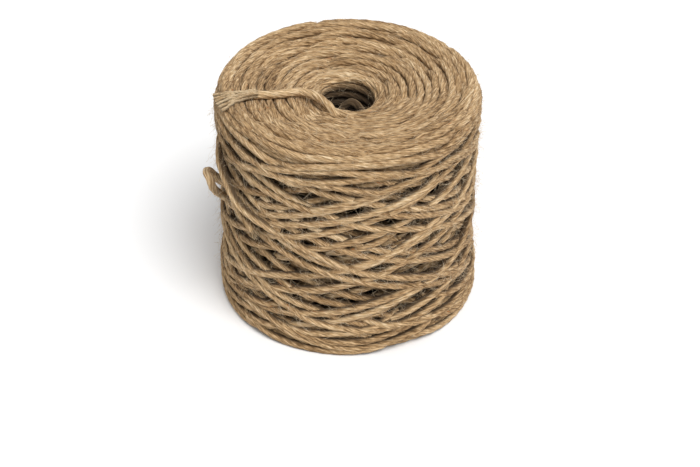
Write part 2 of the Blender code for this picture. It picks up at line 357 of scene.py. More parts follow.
# %% Strokes of the side
PAIRS_IN_LAYER = 19
PAIR_SHIFT = 5
STROKE_TURN = 2 * math.pi * (1 - PAIR_SHIFT / PAIRS_IN_LAYER / 2)
TURN_CHANCE = math.radians(2.2)
TURN_ROUNDING = 22
TOP_SPREAD = 0.017
FOOT_SPREAD = 0.013
STROKE_SLOPE = math.radians(17)
FOOT_CROWDING = 1.5
TOP_CROWDING = 1.3
LOWEST_TURN = HALF + 0.0003
HIGHEST_TURN = ROLL_HEIGHT - HALF - 0.0006
LOWEST = HALF + 0.0002
HIGHEST = ROLL_HEIGHT - HALF - 0.0003
WANDER_REACH = 13
WANDER_SIZE = 0.0006
LEVEL_REACH = 2
UNDER_FROM = math.radians(20.0)
OUTER_FROM = math.radians(33.0)


def zigzag(turns, knots, radius, rounding, reach, waves):
    """Azimuths and heights of a strand that runs up and down between turning points."""
    samples = int((turns[-1] - turns[0]) * radius / CELL)
    azimuth = np.linspace(turns[0], turns[-1], samples)
    height = smooth(np.interp(azimuth, turns, knots), rounding)
    return azimuth, height + wander(samples, reach, waves)


def layer_path(first_azimuth):
    """One layer's whole path: azimuths, heights, and where each stroke ends."""
    count = 2 * PAIRS_IN_LAYER + 1
    turns = first_azimuth + np.arange(count) * STROKE_TURN + chance.normal(0, TURN_CHANCE, count)
    rounding = TURN_ROUNDING * CELL * math.tan(STROKE_SLOPE) / 2
    lows = LOWEST_TURN + FOOT_SPREAD * chance.random(count) ** FOOT_CROWDING - rounding
    highs = HIGHEST_TURN - TOP_SPREAD * chance.random(count) ** TOP_CROWDING + rounding
    knots = np.where(np.arange(count) % 2 == 0, lows, highs)
    azimuth, height = zigzag(turns, knots, ROLL_RADIUS, TURN_ROUNDING, WANDER_REACH, WANDER_SIZE)
    return azimuth, np.clip(height, LOWEST, HIGHEST), np.searchsorted(azimuth, turns)


def wind_layer(heap, first_azimuth):
    """Lay one layer stroke by stroke; returns its azimuths, heights and levels."""
    azimuth, height, ends = layer_path(first_azimuth)
    levels = []
    for start, stop in zip(ends, ends[1:]):
        last = levels[-1][-1] if levels else None
        levels.append(lay_over(heap, height[start:stop], azimuth[start:stop], last))
    level = smooth(np.concatenate(levels), LEVEL_REACH)
    span = slice(ends[0], ends[0] + len(level))
    return azimuth[span], height[span], level


heap = np.zeros((MAP_ROWS, MAP_COLUMNS))
under = wind_layer(heap, UNDER_FROM)
outer = wind_layer(heap, OUTER_FROM)
print("two layers laid, heap up to", round(float(heap.max()) * 1000, 1), "mm")

# %% [markdown]
# ## The last wraps
#
# What catches the eye are the last few strands, which lie over all others. They are
# placed where the photograph shows them, and a few more go round the back.
# Each is a length of the same strand whose ends dive under its neighbours.

# %% Last wraps
# Azimuth in degrees and height of one end, then of the other.
LAST_WRAPS = (
    (-38.0, 0.0835, 74.0, 0.0265),
    (-26.0, 0.1372, 34.0, 0.1125),
    (-66.0, 0.1160, -6.0, 0.0975),
    (-64.0, 0.0140, 34.0, 0.0420),
    (-54.0, 0.0800, 44.0, 0.1115),
    (-4.0, 0.0605, 50.0, 0.0885),
    (-80.0, 0.0985, -30.0, 0.0835),
    (12.0, 0.1010, 72.0, 0.0770),
    (20.0, 0.0215, 84.0, 0.0430),
    (-20.0, 0.1000, 30.0, 0.1195),
    (86.0, 0.1130, 150.0, 0.0850),
    (95.0, 0.0370, 165.0, 0.0640),
    (140.0, 0.1230, 210.0, 0.0980),
    (150.0, 0.0730, 225.0, 0.0440),
    (185.0, 0.0200, 250.0, 0.0470),
    (200.0, 0.0760, 262.0, 0.1020),
    (215.0, 0.1200, 275.0, 0.0960),
    (228.0, 0.0640, 283.0, 0.0400),
)
# The wrap that holds the loop, with stations as in TAIL_ROUTE.
BRIDGE = (
    (-92.0, -0.0080, 0.1120),
    (-84.0, -0.0052, 0.1100),
    (-76.0, -0.0032, 0.1075),
    (-69.5, -0.0010, 0.1050),
    (-63.5, 0.0002, 0.1024),
    (-59.2, 0.0009, 0.1000),
    (-56.4, 0.0013, 0.0974),
    (-54.2, 0.0014, 0.0947),
    (-51.9, 0.0012, 0.0922),
    (-49.4, 0.0007, 0.0902),
    (-46.4, 0.0001, 0.0886),
    (-43.2, -0.0005, 0.0870),
    (-39.5, -0.0014, 0.0852),
    (-35.6, -0.0030, 0.0827),
    (-31.4, -0.0058, 0.0791),
)
DIVE_LENGTH = 0.020
DIVE_DEPTH = 0.0062
WRAP_WANDER = 0.0005


def dive(count, length=DIVE_LENGTH, depth=DIVE_DEPTH):
    """How deep a strand sinks along its length: nothing but at both of its ends."""
    along = np.arange(count) * CELL
    near_end = np.minimum(along, along[-1] - along)
    share = np.clip(1 - near_end / length, 0, 1)
    return depth * share ** 2 * (3 - 2 * share)


def lay_wrap(heap, first_azimuth, first_height, last_azimuth, last_height):
    """One last wrap between two places, laid over the heap with its ends diving."""
    first, last = math.radians(first_azimuth), math.radians(last_azimuth)
    count = int(math.hypot((last - first) * ROLL_RADIUS, last_height - first_height) / CELL)
    azimuth = np.linspace(first, last, count)
    height = np.linspace(first_height, last_height, count) + wander(count, WANDER_REACH, WRAP_WANDER)
    level = lay_over(heap, height, azimuth)
    return azimuth, height, level - dive(count)


wraps = [lay_wrap(heap, *wrap) for wrap in LAST_WRAPS]
bridge_path = smooth_route([tail_point(*station, bedding=0.0) for station in BRIDGE])
print("last wraps:", len(wraps), "the heap is now", round(float(heap.max()) * 1000, 1), "mm high")

# %% [markdown]
# ## From sheet to roll
#
# The sheet is rolled up again: a level over the core becomes a radius. Soft twine under
# tension presses its highest crossings flat, so levels past a bound are squeezed
# together, which keeps their order. The core's radius is found backwards, so that the
# crests come to the roll's outer form, and near both edges the strokes sink under the
# turns that are laid there next.

# %% Side paths in space
CREST_SHARE = 50
SQUEEZE = 0.0030
EDGE_ZONE = 0.026
FOOT_ZONE = EDGE_ZONE / 2
EDGE_STEEPNESS = 1.6
EDGE_SINK = 0.0034
squeeze_from = float(np.percentile(outer[2], CREST_SHARE))
CORE_DEPTH = squeeze_from + SQUEEZE + HALF


def ease(value):
    """A soft step from 0 to 1."""
    value = np.clip(value, 0, 1)
    return value * value * (3 - 2 * value)


def pressed(level):
    """Squeeze what stands above the bound, and keep its order."""
    over = np.maximum(level - squeeze_from, 0)
    return np.minimum(level, squeeze_from) + SQUEEZE * (1 - np.exp(-over / SQUEEZE))


def rolled(azimuth, height, level):
    """Points of a strand from its place in the sheet and its level over the core."""
    top_share = ease((height - ROLL_HEIGHT + EDGE_ZONE) / EDGE_ZONE * EDGE_STEEPNESS)
    foot_share = ease((FOOT_ZONE - height) / FOOT_ZONE * EDGE_STEEPNESS)
    sunk = pressed(level) - EDGE_SINK * np.maximum(top_share, foot_share)
    return on_roll(azimuth, side_radius(height) - CORE_DEPTH + sunk, height)


under_path = rolled(*under)
outer_path = rolled(*outer)
wrap_paths = [rolled(*wrap) for wrap in wraps] + [bridge_path]
print("core radius", round((ROLL_RADIUS - CORE_DEPTH) * 1000, 1), "mm, squeezed from",
      round(squeeze_from * 1000, 1))

# %% [markdown]
# ## The outline
#
# The turns on the top, round the shoulder and round the foot all lie on the roll's
# outline. So the outline is measured as one line, from the rim of the bore over the
# top, down the side and under the foot back to the bore, and a turn is placed by how
# far along that line it lies and how deep it is sunk under it.

# %% The outline as one line
OUTLINE_STEPS = 60
BORE_SHOWN = 0.034
RIM_GAP = 0.0005
SWELL_PAST_FOOT = 0.0045


def outline_table():
    """Distance along the outline, from inside the bore to under the foot, with its place."""
    quarter = np.linspace(0, math.pi / 2, OUTLINE_STEPS)
    rim_height = float(top_height(RIM_RADIUS))
    deep = np.linspace(rim_height - BORE_SHOWN, rim_height - RIM_GAP, OUTLINE_STEPS)
    widening = np.clip(1 - (rim_height - deep) / FUNNEL_DEPTH, 0, 1)
    face = np.linspace(RIM_RADIUS, ROLL_RADIUS - SHOULDER_WIDTH, OUTLINE_STEPS)
    under = np.linspace(ROLL_RADIUS - FOOT_ROUND, RIM_RADIUS, OUTLINE_STEPS)
    radius = np.concatenate([
        BORE_RADIUS + (RIM_RADIUS - BORE_RADIUS) * widening ** 2,
        face,
        ROLL_RADIUS - SHOULDER_WIDTH * (1 - np.sin(quarter[1:])),
        ROLL_RADIUS - FOOT_ROUND * (1 - np.cos(quarter)),
        under[1:],
    ])
    height = np.concatenate([
        deep,
        top_height(face),
        ROLL_HEIGHT - SHOULDER_DROP * (1 - np.cos(quarter[1:])),
        FOOT_ROUND * (1 - np.sin(quarter)),
        base_height(under[1:]),
    ])
    return distances(np.stack([radius, height], axis=-1)), radius, height


OUTLINE = outline_table()
RIM_AT = float(OUTLINE[0][OUTLINE_STEPS])
SIDE_AT = float(OUTLINE[0][3 * OUTLINE_STEPS - 2])
FOOT_AT = float(OUTLINE[0][3 * OUTLINE_STEPS - 1])
SWELL_END = FOOT_AT + SWELL_PAST_FOOT
OUTLINE_END = float(OUTLINE[0][-1])


def on_outline(azimuth, along, depth):
    """Points sunk a depth under the outline at a distance along it."""
    table, radius, height = OUTLINE
    r, z = np.interp(along, table, radius), np.interp(along, table, height)
    ahead, behind = along + CELL, along - CELL
    dr = np.interp(ahead, table, radius) - np.interp(behind, table, radius)
    dz = np.interp(ahead, table, height) - np.interp(behind, table, height)
    size = np.hypot(dr, dz)
    return on_roll(azimuth, r + depth * dz / size, z - depth * dr / size)


print("outline", round(OUTLINE_END, 4), "side from", round(SIDE_AT, 4), "to", round(FOOT_AT, 4))

# %% [markdown]
# ## The turns on both ends
#
# On the top and the underside one sees where every layer turned over: short arcs,
# nearly rings, packed side by side from the bore to the edge. An arc shows for 45 to
# 90 degrees and then dives under the next. Round the shoulder and the foot the arcs
# bend away at both ends, into the strokes of the side. A lower set of full rings
# closes what little shows between them.

# %% Arcs
RING_PITCH = 0.0043
FACE_ARC = 0.075
EDGE_ARC = 0.105
ARC_OVERLAP = 0.018
ARC_SLANT = 0.0006
ARC_BEND = 0.30
BEND_ROUNDING = 0.012
ARC_DIVE = 0.0056
ARC_DIVE_LENGTH = 0.018
RING_SINK = 0.0024
SHOULDER_REACH = 0.013
FOOT_REACH = 0.014
EDGE_BLEND = 0.016
SWELL = 0.0013
RIM_BLEND = 0.012
BORE_SLANT = 0.0046
FIRST_TURN = 0.012
FEWEST_POINTS = 30
ROUNDING_REACH = 9
ARC_WANDER = 0.0003
SINK_CHANCE = 0.0003
TURN_SHIFT = 0.08
EDGE_LONGER = 0.006
RING_STEP = 0.002
RING_OVERLAP = 1.01
RING_REACH = 5
RING_WANDER = 0.0002


def turning_arc(place, azimuth, half_length, slant, bend, sink):
    """One turn on the outline, highest in its middle, bent away at both ends."""
    count = max(FEWEST_POINTS, int(2 * half_length / CELL))
    across = np.linspace(-half_length, half_length, count)
    away = np.sqrt((bend * across) ** 2 + BEND_ROUNDING ** 2) - BEND_ROUNDING
    along = place + slant * across / half_length + np.sign(bend) * away
    along = np.clip(along + wander(count, ROUNDING_REACH, ARC_WANDER), CELL, OUTLINE_END - CELL)
    radius = np.interp(along, OUTLINE[0], OUTLINE[1]) + HALF
    depth = HALF + sink + dive(count, ARC_DIVE_LENGTH, ARC_DIVE)
    return on_outline(azimuth + across / radius, along, depth)


def full_ring(place, sink):
    """One lower ring that shows in the small gaps between arcs."""
    radius = float(np.interp(place, OUTLINE[0], OUTLINE[1]))
    azimuth = np.linspace(0, 2 * math.pi * RING_OVERLAP, int(2 * math.pi * radius / RING_STEP))
    along = place + wander(len(azimuth), RING_REACH, RING_WANDER)
    return on_outline(azimuth, along, np.full(len(azimuth), HALF + sink))


def turns_between(first, last, edge, side):
    """All arcs and lower rings between two places, bent to the side past the edge."""
    arcs = []
    rings = []
    for place in np.arange(first, last, RING_PITCH):
        radius = float(np.interp(place, OUTLINE[0], OUTLINE[1]))
        share = float(ease(1 - max(0.0, (edge - place) * side) / EDGE_BLEND))
        length = FACE_ARC + (EDGE_ARC - FACE_ARC) * share
        number = max(2, round(2 * math.pi * radius / length))
        spacing = 2 * math.pi / number
        half_length = spacing * radius / 2 + ARC_OVERLAP / 2 + share * EDGE_LONGER
        bend = ARC_BEND * share * side
        swell = SWELL if RIM_AT + RIM_BLEND < place < SWELL_END else 0.0
        inside = float(ease((RIM_AT + RIM_BLEND - place) / RIM_BLEND)) if side > 0 else 0.0
        slant = ARC_SLANT + (BORE_SLANT - ARC_SLANT) * inside
        begin = chance.random() * spacing
        for k in range(number):
            azimuth = begin + (k + chance.normal(0, TURN_SHIFT)) * spacing
            sink = abs(chance.normal(0, SINK_CHANCE)) - swell
            arcs.append(turning_arc(place, azimuth, half_length, slant, bend, sink))
        rings.append(full_ring(place + RING_PITCH / 2, RING_SINK))
    return arcs, rings


top_arcs, top_rings = turns_between(FIRST_TURN, SIDE_AT + SHOULDER_REACH, SIDE_AT, 1)
base_arcs, base_rings = turns_between(FOOT_AT - FOOT_REACH, OUTLINE_END - HALF, FOOT_AT, -1)
print("arcs on the top", len(top_arcs), "and under", len(base_arcs))

# %% [markdown]
# ## The bore
#
# The first turns were laid on the peg, so the bore's wall shows the same crossing
# strands, seen from inside. Two families of helices would do, but one long strand that
# runs up and down leaves no ends. All of it touched the peg, so its turns hardly differ
# in depth. One slack turn has come off the wall and stands in the hole.

# %% Strands of the bore
BORE_PAIRS = 11
BORE_TURN = math.radians(3 * 360.0 + 22.5)
BORE_WEAVE = 0.0008
BORE_TOP = 0.118
BORE_TURN_SPREAD = 0.004
BORE_REACH = 9
BORE_WANDER = 0.0004
DEPTH_REACH = 8
# Places in space: it stands up from the wall, left and right.
SLACK_TURN = (
    (-0.0095, 0.0010, 0.1085),
    (-0.0068, 0.0025, 0.1150),
    (-0.0040, 0.0040, 0.1187),
    (-0.0012, 0.0050, 0.1225),
    (0.0016, 0.0052, 0.1243),
    (0.0047, 0.0046, 0.1232),
    (0.0076, 0.0035, 0.1203),
    (0.0106, 0.0015, 0.1158),
    (0.0136, 0.0, 0.1100),
)


def bore_strand():
    """One long strand up and down the bore's wall; each stroke has its own depth."""
    count = 2 * BORE_PAIRS + 1
    turns = np.arange(count) * BORE_TURN
    low = HALF + BASE_DISH
    ups = np.arange(count) % 2 == 1
    highs = BORE_TOP - BORE_TURN_SPREAD * chance.random(count)
    knots = np.where(ups, highs, low + BORE_TURN_SPREAD * chance.random(count))
    radius = BORE_RADIUS + HALF
    azimuth, height = zigzag(turns, knots, radius, BORE_REACH, BORE_REACH, BORE_WANDER)
    stroke = np.clip(np.searchsorted(turns, azimuth) - 1, 0, count - 2)
    depth = smooth(BORE_WEAVE * chance.random(count)[stroke], DEPTH_REACH)
    return on_roll(azimuth, radius + depth, np.clip(height, low, BORE_TOP))


bore_path = bore_strand()
slack_path = smooth_route(SLACK_TURN)
print("bore strand", round(len(bore_path) * CELL, 2), "m")

# %% [markdown]
# ## Geometry Nodes: from a path to laid twine
#
# Jute twine is a loose lay of five or six plies with a slow twist. One could model one
# metre of it and bend copies along the path, but the bends would show as seams. Here a
# node tree sweeps a lobed profile along any path instead: the lobes are the plies, the
# curve's tilt is the twist, and noise along the length makes it thick and thin. The
# tree also writes an attribute called strand, the place on the profile and along the
# length, which the material reads so that its fibres follow the twine.

# %% Node helpers
FLOOR_LIFT = 0.0002


def node(tree, kind, inputs=None, **settings):
    """Add a node, set its properties, then fill or link its inputs."""
    new = tree.nodes.new(kind)
    for name, value in settings.items():
        setattr(new, name, value)
    for key, value in (inputs or {}).items():
        if isinstance(value, bpy.types.NodeSocket):
            tree.links.new(value, new.inputs[key])
        else:
            new.inputs[key].default_value = value
    return new


def shape(tree, kind, inputs=None, **settings):
    """A geometry node's first result."""
    return node(tree, "GeometryNode" + kind, inputs, **settings).outputs[0]


def calc(tree, operation, *values):
    """A Math node's result."""
    return node(tree, "ShaderNodeMath", dict(enumerate(values)), operation=operation).outputs[0]


def vector_calc(tree, operation, *values):
    """A Vector Math node's result, which for a length or a dot product is a number."""
    new = node(tree, "ShaderNodeVectorMath", dict(enumerate(values)), operation=operation)
    return new.outputs["Value" if operation in ("LENGTH", "DOT_PRODUCT") else "Vector"]


def scaled(tree, vector, factor):
    """A vector times a number."""
    values = {0: vector, "Scale": factor}
    return node(tree, "ShaderNodeVectorMath", values, operation="SCALE").outputs[0]


def parts(tree, vector):
    """A vector's three numbers."""
    return node(tree, "ShaderNodeSeparateXYZ", {"Vector": vector}).outputs


def from_parts(tree, x, y, z):
    """A vector from three numbers."""
    return node(tree, "ShaderNodeCombineXYZ", {"X": x, "Y": y, "Z": z}).outputs[0]


def map_range(tree, value, start, stop, low, high):
    """A value moved from one range to another, and kept within it."""
    places = {0: value, 1: start, 2: stop, 3: low, 4: high}
    return node(tree, "ShaderNodeMapRange", places).outputs[0]


def random_number(tree, low, high, seed):
    """A random number for each element."""
    limits = {"Min": low, "Max": high, "Seed": seed}
    return node(tree, "FunctionNodeRandomValue", limits, data_type="FLOAT").outputs[1]


def new_tree(name, sockets):
    """An empty geometry tree with its named inputs; returns it, its inputs and its end."""
    tree = bpy.data.node_groups.new(name, "GeometryNodeTree")
    tree.interface.new_socket("Geometry", in_out="INPUT", socket_type="NodeSocketGeometry")
    for label, kind, value in sockets:
        socket = tree.interface.new_socket(label, in_out="INPUT", socket_type=kind)
        if value is not None:
            socket.default_value = value
    tree.interface.new_socket("Geometry", in_out="OUTPUT", socket_type="NodeSocketGeometry")
    return tree, tree.nodes.new("NodeGroupInput").outputs, tree.nodes.new("NodeGroupOutput")


def above_floor(tree, geometry):
    """Press whatever would reach under the floor flat onto it."""
    spot = parts(tree, shape(tree, "InputPosition"))
    lifted = from_parts(tree, spot[0], spot[1], calc(tree, "MAXIMUM", spot[2], FLOOR_LIFT))
    return shape(tree, "SetPosition", {"Geometry": geometry, "Position": lifted})


def noise(tree, place, detail, scale=1.0):
    """Soft random grain."""
    values = {"Vector": place, "Scale": scale, "Detail": detail}
    return node(tree, "ShaderNodeTexNoise", values).outputs[0]


def capture(tree, geometry, kind, value, domain="POINT"):
    """Freeze a field on a geometry; returns the geometry and the frozen field."""
    holder = node(tree, "GeometryNodeCaptureAttribute", {"Geometry": geometry}, domain=domain)
    holder.capture_items.new(kind, "Held")
    tree.links.new(value, holder.inputs["Held"])
    return holder.outputs["Geometry"], holder.outputs["Held"]


print("node helpers ready")

# %% The twine tree
PLIES = 6
SHIFT_RANGE = 400.0
LUMP_SCALE = 0.12
LUMP_DETAIL = 2.0
TWINE_SOCKETS = (
    ("Radius", "NodeSocketFloat", HALF * 0.96),
    ("Step", "NodeSocketFloat", 0.0026),
    ("Twist Pitch", "NodeSocketFloat", 0.050),
    ("Lobe Depth", "NodeSocketFloat", 0.06),
    ("Sides", "NodeSocketInt", 12),
    ("Slub", "NodeSocketFloat", 0.10),
    ("Seed", "NodeSocketInt", 1),
    ("Material", "NodeSocketMaterial", None),
)


def lumpy_width(tree, given, travel):
    """Half the strand's width along its length: its own thickness, with slow lumps."""
    place = from_parts(tree, 0.0, 0.0, calc(tree, "MULTIPLY", travel, LUMP_SCALE))
    swing = calc(tree, "SUBTRACT", noise(tree, place, LUMP_DETAIL), 0.5)
    swing = calc(tree, "MULTIPLY", swing, given["Slub"])
    thick = shape(tree, "InputNamedAttribute", {"Name": "thick"}, data_type="FLOAT")
    width = calc(tree, "MULTIPLY", thick, given["Radius"])
    return calc(tree, "MULTIPLY", width, calc(tree, "MULTIPLY_ADD", swing, 2.0, 1.0))


def lobed_profile(tree, given):
    """The twine's section with a lobe for each ply, and its points before they were moved."""
    ring = shape(tree, "CurvePrimitiveCircle", {"Resolution": given["Sides"], "Radius": 1.0})
    spot = shape(tree, "InputPosition")
    profile, round_spot = capture(tree, ring, "VECTOR", spot)
    axes = parts(tree, spot)
    angle = calc(tree, "ARCTAN2", axes[1], axes[0])
    lobe = calc(tree, "COSINE", calc(tree, "MULTIPLY", angle, float(PLIES)))
    grown = calc(tree, "MULTIPLY_ADD", lobe, given["Lobe Depth"], 1.0)
    moved = shape(tree, "SetPosition", {"Geometry": profile, "Position": scaled(tree, spot, grown)})
    return moved, round_spot


def twine_tree():
    """Edges become strands of laid twine."""
    tree, given, end = new_tree("laid_twine", TWINE_SOCKETS)
    strands = shape(tree, "MeshToCurve", {"Mesh": given["Geometry"]})
    even = shape(tree, "ResampleCurve", {"Curve": strands, "Length": given["Step"]}, mode="LENGTH")
    chance_each = random_number(tree, 0.0, SHIFT_RANGE, given["Seed"])
    curve, shift = capture(tree, even, "FLOAT", chance_each, "CURVE")
    length = node(tree, "GeometryNodeSplineParameter").outputs["Length"]
    travel = calc(tree, "ADD", calc(tree, "DIVIDE", length, given["Radius"]), shift)
    curve, travel = capture(tree, curve, "FLOAT", travel)
    twist = calc(tree, "DIVIDE", calc(tree, "MULTIPLY", length, 2 * math.pi), given["Twist Pitch"])
    tilted = shape(tree, "SetCurveTilt", {"Curve": curve, "Tilt": twist})
    width = lumpy_width(tree, given, travel)
    profile, round_spot = lobed_profile(tree, given)
    tube = shape(tree, "CurveToMesh",
                 {"Curve": tilted, "Profile Curve": profile, "Scale": width, "Fill Caps": True})
    axes = parts(tree, round_spot)
    strand = from_parts(tree, axes[0], axes[1], travel)
    stored = shape(tree, "StoreNamedAttribute", {"Geometry": tube, "Name": "strand", "Value": strand},
                   data_type="FLOAT_VECTOR", domain="POINT")
    soft = shape(tree, "SetShadeSmooth", {"Geometry": stored})
    real = shape(tree, "RealizeInstances", {"Geometry": above_floor(tree, soft)})
    painted = shape(tree, "SetMaterial", {"Geometry": real, "Material": given["Material"]})
    tree.links.new(painted, end.inputs[0])
    return tree


laid_twine = twine_tree()
print("twine tree:", len(laid_twine.nodes), "nodes")

# %% Running a tree
def strand_object(name, paths, thicks=None):
    """An object of plain edges, one chain for each path, with its relative thickness."""
    points = np.concatenate(paths)
    edges = []
    first = 0
    for path in paths:
        edges += [(k, k + 1) for k in range(first, first + len(path) - 1)]
        first += len(path)
    mesh = bpy.data.meshes.new(name)
    mesh.from_pydata(points.tolist(), edges, [])
    thick = np.ones(len(points)) if thicks is None else np.concatenate(thicks)
    mesh.attributes.new("thick", "FLOAT", "POINT").data.foreach_set("value", thick.astype(np.float32))
    return place_object(name, mesh)


def run_tree(piece, tree, **values):
    """Run a node tree on a piece and keep the result as its plain mesh."""
    modifier = piece.modifiers.new(tree.name, "NODES")
    modifier.node_group = tree
    for item in tree.interface.items_tree:
        label = item.name.lower().replace(" ", "_")
        if item.in_out == "INPUT" and label in values:
            modifier[item.identifier] = values.pop(label)
    assert not values, f"no such input: {values}"
    depsgraph = bpy.context.evaluated_depsgraph_get()
    mesh = bpy.data.meshes.new_from_object(piece.evaluated_get(depsgraph), depsgraph=depsgraph)
    piece.modifiers.remove(modifier)
    rough = piece.data
    piece.data = mesh
    bpy.data.meshes.remove(rough)
    mesh.name = piece.name
    mesh.calc_loop_triangles()
    print(piece.name, "has", len(mesh.loop_triangles), "triangles")
    return piece


def dress(piece):
    """Hang a piece of twine on the root body."""
    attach(piece, "root")
    return piece


print("ready to wind")

# %% [markdown]
# ## Jute
#
# Jute is matt bast fibre: streaks a few tenths of a millimetre wide that run along the
# ply, straw and grey-brown side by side, with painted shade in the valleys between plies,
# a few dark specks of bark and a rare orange fleck. Image textures would repeat; noise
# that is stretched along the strand attribute doesn't, and it needs no UV seam. A
# strand's flanks get little light, so painted shade darkens a surface as it turns away
# from the roll's outside. The loose ends lie free: they are paler and get less painted
# shade.

# %% Colours of jute
# dark fibre, which is also the colour of the painted shade in the valleys between plies
FIBRE_DARK_AND_VALLEY_SHADE = (0.130, 0.070, 0.026, 1.0)
FIBRE_BROWN = (0.390, 0.238, 0.110, 1.0)
FIBRE_STRAW = (0.650, 0.440, 0.232, 1.0)
FIBRE_PALE = (0.900, 0.710, 0.455, 1.0)
FIBRE_STOPS = (
    (0.28, FIBRE_DARK_AND_VALLEY_SHADE),
    (0.44, FIBRE_BROWN),
    (0.58, FIBRE_STRAW),
    (0.76, FIBRE_PALE),
)
FLECK_ORANGE = (0.45, 0.13, 0.02, 1.0)
# colour of the painted shade deep in the bore
BORE_PAINTED_SHADE = (0.020, 0.012, 0.006, 1.0)
# colour of the painted shade on the strands' flanks
FLANK_PAINTED_SHADE = (0.045, 0.026, 0.012, 1.0)
HAIR_PALE = (0.78, 0.66, 0.48, 1.0)
# the core's colours: dark painted shade for the layers under the strands
PAINTED_SHADE_DARK = (0.035, 0.020, 0.010, 1.0)
PAINTED_SHADE_BROWN = (0.110, 0.068, 0.036, 1.0)
print("tones of fibre:", len(FIBRE_STOPS))

# %% Shader helpers
def new_material(name, roughness, specular):
    """A material and its shader."""
    material = bpy.data.materials.new(name)
    material.use_nodes = True
    shader = material.node_tree.nodes["Principled BSDF"]
    shader.inputs["Roughness"].default_value = roughness
    shader.inputs["Specular IOR Level"].default_value = specular
    return material, shader


def stretched_noise(tree, place, around, along, detail, shift):
    """Noise whose grains are long along the strand."""
    stretched = vector_calc(tree, "MULTIPLY", place, (around, around, along))
    moved = vector_calc(tree, "ADD", stretched, (shift, shift, shift))
    return noise(tree, moved, detail)


def ramp(tree, value, *stops):
    """A colour ramp with stops given as (position, colour)."""
    new = node(tree, "ShaderNodeValToRGB", {"Fac": value})
    elements = new.color_ramp.elements
    while len(elements) < len(stops):
        elements.new(0.5)
    for element, (position, colour) in zip(elements, stops):
        element.position = position
        element.color = colour
    return new.outputs[0]


def blend(tree, share, first, second):
    """Mix two colours by a share."""
    new = node(tree, "ShaderNodeMix", {0: share, 6: first, 7: second}, data_type="RGBA")
    return new.outputs[2]


print("shader helpers ready")

# %% Painted shade in the bore
BORE_FROM = 0.006
BORE_LIT = 0.021
BORE_EDGE = 0.0035
BORE_SHARE = 0.97


def from_axis(tree, spot):
    """The part of a place or direction that points away from the roll's axis."""
    return vector_calc(tree, "MULTIPLY", spot, (1, 1, 0))


def painted_bore_shade(tree):
    """How much painted shade a place gets deep in the bore, from 0 to 1."""
    spot = node(tree, "ShaderNodeTexCoord").outputs["Object"]
    radius = vector_calc(tree, "LENGTH", from_axis(tree, spot))
    rim = ROLL_HEIGHT - TOP_DISH
    inner = RIM_RADIUS + BORE_EDGE
    deep = map_range(tree, parts(tree, spot)[2], rim - BORE_FROM, rim - BORE_LIT, 0.0, BORE_SHARE)
    inside = map_range(tree, radius, inner, inner - BORE_EDGE, 0.0, 1.0)
    return calc(tree, "MULTIPLY", deep, inside)


print("the bore is dark from", round((ROLL_HEIGHT - TOP_DISH - BORE_LIT) * 1000), "mm down")

# %% Painted shade on the flanks
FLANK_FROM = 0.86
FLANK_TO = 0.22
FLANK_SHARE = 0.86
FACE_LEVEL = ROLL_HEIGHT - SHOULDER_DROP
FACE_BLEND = 0.004
FACE_SOFTER = 0.88
FUNNEL_FROM = RIM_RADIUS + 0.005
FUNNEL_TO = BORE_RADIUS + 0.001
FUNNEL_LEAN = -1.6


def outward_direction(tree, on_face):
    """Away from the axis on the side, up on the top face, and inwards in the funnel."""
    flat = from_axis(tree, node(tree, "ShaderNodeTexCoord").outputs["Object"])
    radial = vector_calc(tree, "NORMALIZE", flat)
    lean = map_range(tree, vector_calc(tree, "LENGTH", flat), FUNNEL_FROM, FUNNEL_TO, 0.0, FUNNEL_LEAN)
    face = vector_calc(tree, "ADD", scaled(tree, radial, lean), (0, 0, 1))
    outward = node(tree, "ShaderNodeMix", {0: on_face, 4: radial, 5: face}, data_type="VECTOR")
    return vector_calc(tree, "NORMALIZE", outward.outputs[1])


def painted_flank_shade(tree, share, softer):
    """Painted shade on a strand's flanks, where it turns away from the roll's outside."""
    height = parts(tree, node(tree, "ShaderNodeTexCoord").outputs["Object"])[2]
    on_face = map_range(tree, height, FACE_LEVEL - FACE_BLEND, FACE_LEVEL + FACE_BLEND, 0.0, 1.0)
    normal = node(tree, "ShaderNodeNewGeometry").outputs["Normal"]
    facing = vector_calc(tree, "DOT_PRODUCT", normal, outward_direction(tree, on_face))
    shade = map_range(tree, facing, FLANK_FROM, FLANK_TO, 0.0, share)
    return calc(tree, "MULTIPLY", shade, calc(tree, "MULTIPLY_ADD", on_face, -softer, 1.0))


print("the flanks darken below a facing of", FLANK_FROM)

# %% Twine material
# For each grain: how fine around the ply and along it, its detail, and its shift.
FINE_GRAIN = (10.0, 0.28, 4.0, 0.0)
BROAD_GRAIN = (1.6, 0.10, 2.0, 31.0)
TUFT_GRAIN = (3.1, 0.55, 3.0, 19.0)
TONE_GRAIN = (0.0, 0.016, 1.0, 57.0)
SPECK_GRAIN = (3.0, 0.45, 1.0, 83.0)
RARE_GRAIN = (1.2, 0.20, 1.0, 117.0)
FINE_SHARE = 0.55
BROAD_SHARE = 0.30
TUFT_SHARE = 0.85
TONE_SHARE = 0.80
TONE_MIDDLE = 0.750
VALLEY_POWER = 2.5
# how much painted shade the valleys between plies get
VALLEY_PAINTED_SHADE = 0.18
SPECK_OVER = 0.735
SPECK_SHARE = 0.7
FLECK_OVER = 0.765
FLECK_SHARE = 0.75
BUMP_STRENGTH = 0.9
BUMP_HEIGHT = 0.0006
BUMP_FIBRE = 1.4
BUMP_VALLEY = -0.8
SHEEN = 0.05
SHEEN_ROUGHNESS = 0.6


